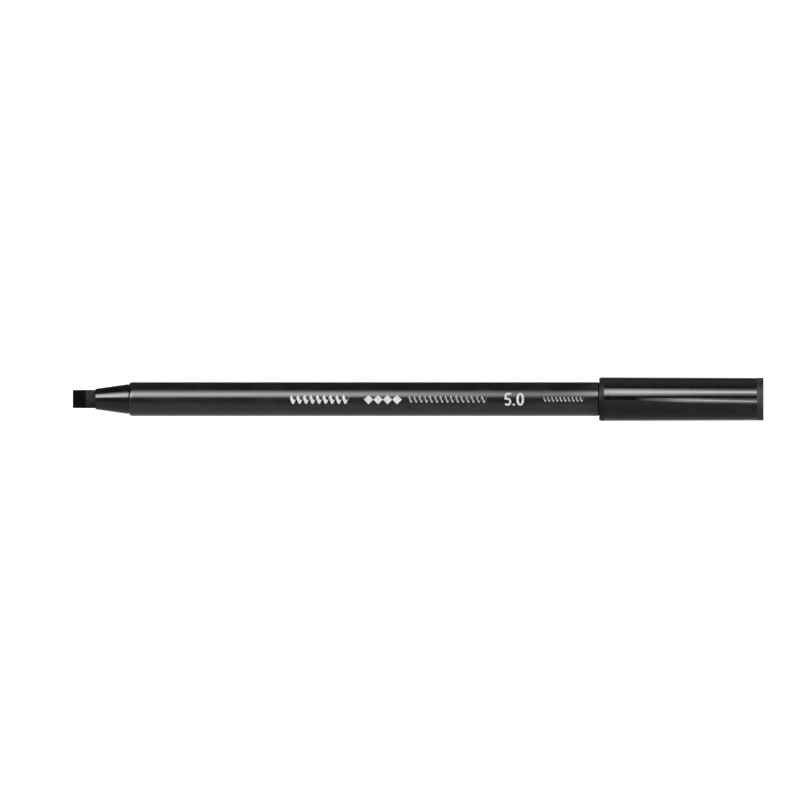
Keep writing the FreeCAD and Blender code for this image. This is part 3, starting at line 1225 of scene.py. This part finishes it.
    def ribbon(
        self, line: np.ndarray, width: np.ndarray | float, closed: bool = False
    ) -> tuple[np.ndarray, np.ndarray]:
        """Widens a line into a stroke, each point moved along the line's own normal.

        Args:
            line: The points of the line, as points by two.
            width: The stroke's width, or its width at each point.
            closed: Whether the line ends where it starts.

        Returns:
            The distances along and across, as points by columns.
        """
        if closed:
            way = np.roll(line, -1, axis=0) - np.roll(line, 1, axis=0)
        else:
            way = np.gradient(line, axis=0)
        way /= np.linalg.norm(way, axis=1, keepdims=True)
        q = np.linspace(-0.5, 0.5, 7) * np.broadcast_to(width, len(line))[:, None]
        return line[:, :1] - way[:, 1:] * q, line[:, 1:] + way[:, :1] * q

    def numerals(self, seat: Seat) -> None:
        """The line width, 5.0, in plain upright numerals made of ribbons.

        The nought is an ellipse; the five is a bar, a stem and a bowl on one line; the point is a disc.

        Args:
            seat: Where the barrel lies.
        """
        tall = self.numerals_height
        wide = tall * self.width_share
        weight = tall * self.weight_share
        place = np.array([self.numerals_at, -tall / 2])
        turn = np.linspace(*self.bowl_turns, 44)
        bowl_middle = np.array([wide, tall]) * self.bowl_middle_shares
        bowl_size = np.array([(wide - weight) / 2, tall * self.bowl_rise_share])
        bowl = bowl_middle + bowl_size * np.stack([np.cos(turn), np.sin(turn)], 1)
        bar_end = np.array([wide * self.bar_reach_share, tall - weight / 2])
        corner = np.array([weight * self.stem_inset_share, tall - weight / 2])
        stem_end = bowl[0] - np.array([self.stem_lean, 0.0])
        bar = between(bar_end, corner, np.linspace(0, 1, 10)[:, None])
        stem = between(corner, stem_end, np.linspace(0, 1, 12)[1:, None])
        strokes = (("numeral_bar", bar), ("numeral_stem", stem), ("numeral_bowl", bowl[1:]))
        pieces = [self.wrapped(name, *self.ribbon(line + place, weight), seat) for name, line in strokes]
        point_middle = place + np.array([wide, weight]) * self.point_shares
        pieces.append(self.point(point_middle, weight * self.point_radius_share, seat))
        turn = np.linspace(0, FULL_TURN, 72, endpoint=False)
        along = self.numerals_at + wide * self.nought_share + (wide - weight) / 2 * np.cos(turn)
        loop = np.stack([along, (tall - weight) / 2 * np.sin(turn)], 1)
        least, more = self.nought_weights
        swell = weight * (least + more * np.abs(np.cos(turn)))
        pieces.append(self.wrapped("numeral_nought", *self.ribbon(loop, swell, True), seat, closed=True))
        ink = self.white.mix()
        for piece in pieces:
            settle(piece, ink, self.body, slot="barrel_plastic")

    def point(self, middle: np.ndarray, radius: float, seat: Seat) -> bpy.types.Object:
        """The numerals' point: a disc, whose half height at x from its middle is the root of r^2 - x^2.

        Args:
            middle: Its middle, along and across.
            radius: Its radius r.
            seat: Where the barrel lies.

        Returns:
            The new object.
        """
        share = np.linspace(-1, 1, 15)[:, None]
        half = np.sqrt(np.clip(1 - share**2, 0.02, 1)) * radius
        q = np.linspace(-1, 1, 7)
        along = middle[0] + share * radius + 0 * q
        return self.wrapped("numeral_point", along, middle[1] + half * q, seat)


@dataclass
class Cap:
    """The glossy cap, the sealing cup inside it and the disc that closes it. Sizes in millimetres."""

    body: str = "cap"
    lip_length: float = 1.1
    lip_drop: float = 0.2
    dull_length: float = 1.3
    mouth_lead_in: float = 0.3
    bore: float = 4.615
    shoulder_inset: float = 18.05
    deep_bore: float = 4.11
    rear_radius: float = 5.725
    seal_bore: float = 3.3956
    seal_flare: float = 0.3
    seal_floor: float = 0.7
    disc_length: float = 1.75
    disc_round: float = 0.18
    disc_gap: float = 0.015
    dish_depth: float = 0.18
    dish_radius: float = 4.5
    gloss: GlossPlastic = GlossPlastic("cap_gloss")
    satin: SatinPlastic = SatinPlastic("disc_satin", level=0.018, roughness=0.55, specular=0.13, lines_um=0.0)
    dull: SatinPlastic = SatinPlastic("lip_satin", level=0.007, roughness=0.5, specular=0.11, lines_um=0.0)
    soft: SoftFill = SoftFill(
        "seal_soft", (grey(0.5, 0.02), grey(0.62, 0.03)), (0.9, 0.9, 0.9), (0.4, 0.6), relief_um=8.0
    )

    def build(self) -> None:
        """Builds and dresses the three pieces."""
        self.shell()
        self.seal()
        self.disc()

    def shell(self) -> None:
        """The shell: its outline runs over the lip and the taper, and back through the stepped bore."""
        seat = Seat.of("cap_shell")
        length = seat.length_mm
        radius = seat.radius_mm
        mouth = self.bore + self.mouth_lead_in
        outline = soften(
            [
                (0, mouth + 0.2, 0),
                *nose(self.lip_length, self.lip_drop, radius, 0.05),
                (self.dull_length - 0.01, radius - 0.0005, 0),
                (self.dull_length + 0.01, radius - 0.0005, 0),
                (length, self.rear_radius, 0.06),
                (length, self.deep_bore, 0.05),
                (self.shoulder_inset, self.deep_bore, 0.1),
                (self.shoulder_inset, self.bore, 0.1),
                (self.mouth_lead_in, self.bore, 0.1),
                (0, mouth, 0.08),
                (0, mouth + 0.18, 0),
            ],
            steps=5,
        )
        piece = turned("gloss_cap", outline, seat, Wrap.BOTH, 320)
        settle(piece, self.gloss.mix(), self.body, "cap_shell", slot="cap_plastic")
        self.dull_lip(piece, seat)

    def dull_lip(self, piece: bpy.types.Object, seat: Seat) -> None:
        """Gives the unpolished band at the mouth its own finish: the faces before the band's end.

        Args:
            piece: The shell.
            seat: Where the shell lies.
        """
        piece.data.materials.append(self.dull.mix())
        centres = np.empty(len(piece.data.polygons) * 3, np.float32)
        piece.data.polygons.foreach_get("center", centres)
        on_lip = (centres[0::3] - seat.front) / MM < self.dull_length
        piece.data.polygons.foreach_set("material_index", on_lip.astype(np.int32))

    def seal(self) -> None:
        """The sealing cup: a thin wall with a flared mouth, closed by a floor."""
        seat = Seat.of("cap_inner_seal")
        length = seat.length_mm
        radius = seat.radius_mm
        outline = soften(
            [
                (length, 0, 0),
                (length, radius, 0.1),
                (0, radius, 0.1),
                (0, self.seal_bore + self.seal_flare, 0.08),
                (self.seal_flare, self.seal_bore, 0.1),
                (length - self.seal_floor, self.seal_bore, 0.3),
                (length - self.seal_floor, 0, 0),
            ]
        )
        piece = turned("cap_seal", outline, seat, Wrap.AROUND, 160)
        settle(piece, self.soft.mix(), self.body, "cap_inner_seal", slot="seal_plastic")

    def disc(self) -> None:
        """The end disc: a spigot in the shell, a band that shows, and a face with a shallow dish."""
        seat = Seat.of("cap_end_disc")
        length = seat.length_mm
        radius = seat.radius_mm
        spigot = self.deep_bore - self.disc_gap
        band_from = length - self.disc_length
        dish_floor = length - self.dish_depth
        outline = soften(
            [
                (0, 0, 0),
                (0, spigot - 0.1, 0.1),
                (0.1, spigot, 0.1),
                (band_from, spigot, 0.02),
                (band_from + 0.01, radius, 0.03),
                (length, radius, self.disc_round),
                (length, self.dish_radius + 0.25, 0.12),
                (dish_floor, self.dish_radius, 0.12),
                (dish_floor, 0, 0),
            ]
        )
        piece = turned("cap_disc", outline, seat, Wrap.AROUND, 320)
        settle(piece, self.satin.mix(), self.body, "cap_end_disc", slot="disc_plastic")


# The studio --------------------------------------------------


@dataclass(frozen=True)
class Softbox:
    """A long lamp along X, in front of, above or behind the marker. In metres and degrees."""

    name: str
    low: float
    high: float
    brightness: float
    left: float = -0.78
    right: float = 0.96
    distance: float = 1.6
    seen_in_gloss: bool = True

    def hang(self, target: Vector) -> None:
        """Hangs the lamp so that it spans its two elevations as seen from the target.

        Args:
            target: The point that it faces.
        """
        middle = np.radians((self.low + self.high) / 2)
        height = 2 * self.distance * np.tan(np.radians((self.high - self.low) / 2))
        lamp = bpy.data.lights.new(self.name, "AREA")
        lamp.shape = "RECTANGLE"
        lamp.size = self.right - self.left
        lamp.size_y = height
        lamp.energy = self.brightness * np.pi * lamp.size * height
        lamp.color = LAMP_TINT
        holder = bpy.data.objects.new(self.name, lamp)
        out = Vector((0.0, -np.cos(middle), np.sin(middle)))
        holder.location = target + out * self.distance + Vector(((self.left + self.right) / 2, 0, 0))
        holder.rotation_euler = (np.pi / 2 - middle, 0.0, 0.0)
        holder.visible_glossy = self.seen_in_gloss
        bpy.context.scene.collection.objects.link(holder)


@dataclass(frozen=True)
class LightCard:
    """A glowing card that only the marker's gloss sees."""

    name: str

    def hang(self, grid: np.ndarray, glow: np.ndarray) -> None:
        """Hangs the card.

        Args:
            grid: The card's points, as rows by columns by three.
            glow: How bright it is at each of them.
        """
        piece = skin(self.name, grid, Wrap.NEITHER)
        set_numbers(piece, "glow", np.broadcast_to(glow, grid.shape[:2]))
        material = bpy.data.materials.new(self.name)
        material.use_nodes = True
        nodes = material.node_tree.nodes
        links = material.node_tree.links
        nodes.remove(nodes["Principled BSDF"])
        level = nodes.new("ShaderNodeAttribute")
        level.attribute_name = "glow"
        light = nodes.new("ShaderNodeEmission")
        light.inputs["Color"].default_value = (*LAMP_TINT, 1.0)
        links.new(level.outputs["Fac"], light.inputs["Strength"])
        links.new(light.outputs["Emission"], nodes["Material Output"].inputs["Surface"])
        material.cycles.emission_sampling = "NONE"
        dress(piece, material)
        piece.visible_camera = False
        piece.visible_diffuse = False
        piece.visible_shadow = False
        piece.visible_transmission = False
        piece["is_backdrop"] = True


@dataclass
class Studio:
    """The pale floor, the lamps, the cards and the camera. Lengths are in metres and angles in degrees.

    A span of places says where a change starts and where it is complete, a span of levels or heights has
    its two ends, and a bell has its middle and its width.
    """

    floor_size: float = 8.0
    floor_level: float = 0.86
    floor_glow: float = 0.82
    room_light: float = 0.25
    view_elevation: float = 5.0
    view_distance: float = 2.5
    view_width: float = 0.21505
    aside: float = -0.00488
    below: float = -0.00027
    reach: Span = (-0.29, 0.36)
    key_distance: float = 0.12
    key_brightness: float = 20.3
    key_low: Span = (16.5, 20.5)
    key_peak: Span = (36.0, 41.3)
    key_width: Span = (16.0, 7.4)
    key_high: float = 68.0
    key_low_fade: float = 1.5
    key_high_fade: float = 8.0
    key_bell: float = 0.87
    key_even: float = 0.11
    key_fade: float = 0.6
    fades: Span = (-0.045, 0.03)
    rises: Span = (0.035, 0.052)
    narrows: Span = (0.04, 0.085)
    cone_lift: float = 1.65
    cone_lifts: Span = (-0.1, -0.112)
    cap_lift: float = 1.55
    cap_lifts: Span = (0.0475, 0.0505)
    canopy_distance: float = 0.05
    canopy_elevations: Span = (60.0, 130.0)
    canopy_brightness: float = 0.6
    flag_height: float = 0.0001
    flag_brightness: float = 1.2
    under_shade: float = 0.65
    under_bell: Span = (0.012, 0.018)
    barrel_shade: float = 0.88
    barrel_shades: Span = (-0.009, -0.023)
    cap_shade: float = 0.25
    cap_bell: Span = (-0.012, 0.022)
    wedge_gap: float = 0.012
    wedge_brightness: float = 23.0
    wedge_insets: Span = (0.0098, 0.003)
    wedge_top: float = 0.0027
    wedge_bottom: Span = (0.0012, -0.0064)
    wedge_hollow: float = 0.6
    crest: Span = (0.0014, -0.0023)
    crest_width: float = 0.0012
    ridge_levels: Span = (1.21, 0.88)
    ridge_grows: Span = (0.22, 0.57)
    even_levels: Span = (0.14, 0.4)
    even_bell: Span = (0.34, 0.2)
    even_grows: Span = (0.0, 0.08)
    lamps: tuple[Softbox, ...] = (
        Softbox("front_fill", 25, 60, 1.6, seen_in_gloss=False),
        Softbox("overhead", 90, 130, 0.1),
        Softbox("back_low", 154, 168, 1.6),
    )

    def build(self) -> None:
        """Builds the floor, hangs the lamps and the cards, and sets the camera."""
        low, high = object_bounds()
        middle = (Vector(low) + Vector(high)) / 2
        self.floor()
        self.room()
        for lamp in self.lamps:
            lamp.hang(middle)
        self.key(middle.z)
        self.canopy()
        self.flag()
        self.wedge()
        self.camera(middle)

    def floor(self) -> None:
        """A pale floor, lit a little from within like a light table, with a very fine paper grain."""
        side = np.linspace(-self.floor_size / 2, self.floor_size / 2, 9)
        piece = skin("floor", points_of(side[:, None], side, 0.0), Wrap.NEITHER)
        if piece.data.polygons[0].normal.z < 0:
            piece.data.flip_normals()
        recipe = Recipe("floor_paper")
        recipe.set(Roughness=0.9, Specular_IOR_Level=0.1)
        recipe.set(Emission_Color=PLAIN_WHITE, Emission_Strength=self.floor_glow)
        grain = recipe.noise((0.8, 0.8, 0.8), 3.0, 0.6)
        tones = (grey(self.floor_level - 0.01), grey(self.floor_level))
        recipe.link(recipe.blend(recipe.spread(grain, BROAD), *tones), "Base Color")
        recipe.relief((grain, 3.0))
        recipe.material.cycles.emission_sampling = "NONE"
        dress(piece, recipe.material)
        piece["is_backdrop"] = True

    def room(self) -> None:
        """An even room: white to look at, dimmer as a light, and not seen in the marker's gloss."""
        world = bpy.data.worlds.new("room")
        world.use_nodes = True
        nodes = world.node_tree.nodes
        links = world.node_tree.links
        strength = nodes.new("ShaderNodeMapRange")
        strength.inputs["To Min"].default_value = self.room_light
        links.new(nodes.new("ShaderNodeLightPath").outputs["Is Camera Ray"], strength.inputs["Value"])
        nodes["Background"].inputs["Color"].default_value = PLAIN_WHITE
        links.new(strength.outputs["Result"], nodes["Background"].inputs["Strength"])
        bpy.context.scene.world = world
        world.cycles_visibility.glossy = False

    def key(self, height: float) -> None:
        """The key card: an arc around the marker, in front and above.

        Its glow falls off on both sides of the peak elevation as a bell curve over a low even glow. Towards
        the cap's end the peak rises and the bell narrows, and the glow starts sharply at the card's lower
        edge. Along the barrel it fades towards the cap; the two ends, which the cone and the cap mirror, are
        brighter.

        Args:
            height: The height of the marker's axis.
        """
        x = np.linspace(*self.reach, 261)[:, None]
        elevation = np.linspace(self.key_low[0], self.key_high, 53)
        risen = ramp(x, *self.rises)
        low = between(*self.key_low, risen)
        width = between(*self.key_width, ramp(x, *self.narrows))
        glow = self.key_bell * bell(elevation, between(*self.key_peak, risen), width) + self.key_even
        glow = glow * ramp(elevation, low, low + self.key_low_fade)
        glow = glow * ramp(elevation, self.key_high, self.key_high - self.key_high_fade)
        along = 1 - self.key_fade * ramp(x, *self.fades)
        along = between(along, self.cone_lift, ramp(x, *self.cone_lifts))
        along = between(along, self.cap_lift, ramp(x, *self.cap_lifts))
        arc = self.arc(x, elevation, self.key_distance, height)
        LightCard("key_card").hang(arc, self.key_brightness * along * glow)

    def arc(self, x: np.ndarray, elevation: np.ndarray, distance: float, height: float) -> np.ndarray:
        """The points (x, -d cos e, height + d sin e) of an arc of card around the marker.

        Args:
            x: The stations, as a column.
            elevation: The elevations e in degrees, as a row.
            distance: The arc's radius d.
            height: The height of its middle.

        Returns:
            The points, as rows by columns by three.
        """
        turn = np.radians(elevation)
        return points_of(x, -distance * np.cos(turn), height + distance * np.sin(turn))

    def canopy(self) -> None:
        """A dim card close above the cap: even, and fading out at its two long edges."""
        seat = Seat.of("cap_shell")
        x = np.linspace(seat.front - 0.002, seat.rear + 0.02, 25)[:, None]
        share = np.linspace(0, 1, 25)
        arc = self.arc(x, between(*self.canopy_elevations, share), self.canopy_distance, seat.axis)
        LightCard("canopy_card").hang(arc, self.canopy_brightness * np.sqrt(np.sin(np.pi * share)))

    def flag(self) -> None:
        """A card on the floor that only gloss sees, dimmer than the floor where less light comes back.

        The point at the share v across is 50 mm - 650 mm v^3 from the axis. Its glow is one, less a bell
        curve just behind the axis, and less a dark reach in front: a ramp that runs on before the barrel, and
        a bell curve before the cap.
        """
        cap_from = Seat.of("cap_shell").front
        x = np.linspace(*self.reach, 131)[:, None]
        y = 0.05 - 0.65 * np.linspace(0, 1, 129) ** 3
        under = self.under_shade * bell(y, *self.under_bell)
        before_barrel = self.barrel_shade * ramp(y, *self.barrel_shades)
        before_cap = self.cap_shade * bell(y, *self.cap_bell)
        on_cap = ramp(x, cap_from - 0.002, cap_from + 0.002)
        glow = np.clip(1 - under - between(before_barrel, before_cap, on_cap), 0, 1)
        LightCard("flag_card").hang(points_of(x, y, self.flag_height), self.flag_brightness * glow)

    def wedge(self) -> None:
        """A small wedge-shaped card low in front of the cap.

        Its upper edge is level and its lower edge falls away towards the cap's end. Near the point it glows
        evenly; further on its glow gathers in a ridge, a bell curve about a crest that falls away too.
        """
        seat = Seat.of("cap_shell")
        t = np.linspace(0, 1, 41)[:, None]
        inset, overrun = self.wedge_insets
        x = between(seat.front + inset, seat.rear + overrun, t)
        bottom = between(*self.wedge_bottom, t**self.wedge_hollow)
        height = between(bottom, self.wedge_top, np.linspace(0, 1, 33))
        ridge = bell(height, between(*self.crest, t), self.crest_width) * ramp(t, *self.ridge_grows)
        ridge = ridge * between(*self.ridge_levels, t)
        even = between(*self.even_levels, bell(t, *self.even_bell)) * ramp(t, *self.even_grows)
        grid = points_of(x, -seat.radius - self.wedge_gap, seat.axis + height)
        LightCard("wedge_card").hang(grid, self.wedge_brightness * (ridge + even))

    def camera(self, middle: Vector) -> None:
        """A camera without perspective, square to the print and a little above the marker.

        Args:
            middle: The middle of the whole marker.
        """
        rise = np.radians(self.view_elevation)
        eye = bpy.data.cameras.new("camera")
        eye.type = "ORTHO"
        eye.ortho_scale = self.view_width
        holder = bpy.data.objects.new("camera", eye)
        out = Vector((0.0, -np.cos(rise), np.sin(rise)))
        target = middle + Vector((self.aside, 0.0, self.below))
        holder.location = target + out * self.view_distance
        holder.rotation_euler = (np.pi / 2 - rise, 0.0, 0.0)
        bpy.context.scene.collection.objects.link(holder)
        bpy.context.scene.camera = holder
        bpy.context.scene.view_settings.view_transform = "Standard"


def main() -> None:
    """Loads the frame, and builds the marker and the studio."""
    logging.basicConfig(level=logging.INFO, format="%(name)s: %(message)s")
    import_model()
    for part in (WritingEnd(), BarrelUnit(), Printing(), Cap(), Studio()):
        part.build()


if __name__ == "__main__":
    main()
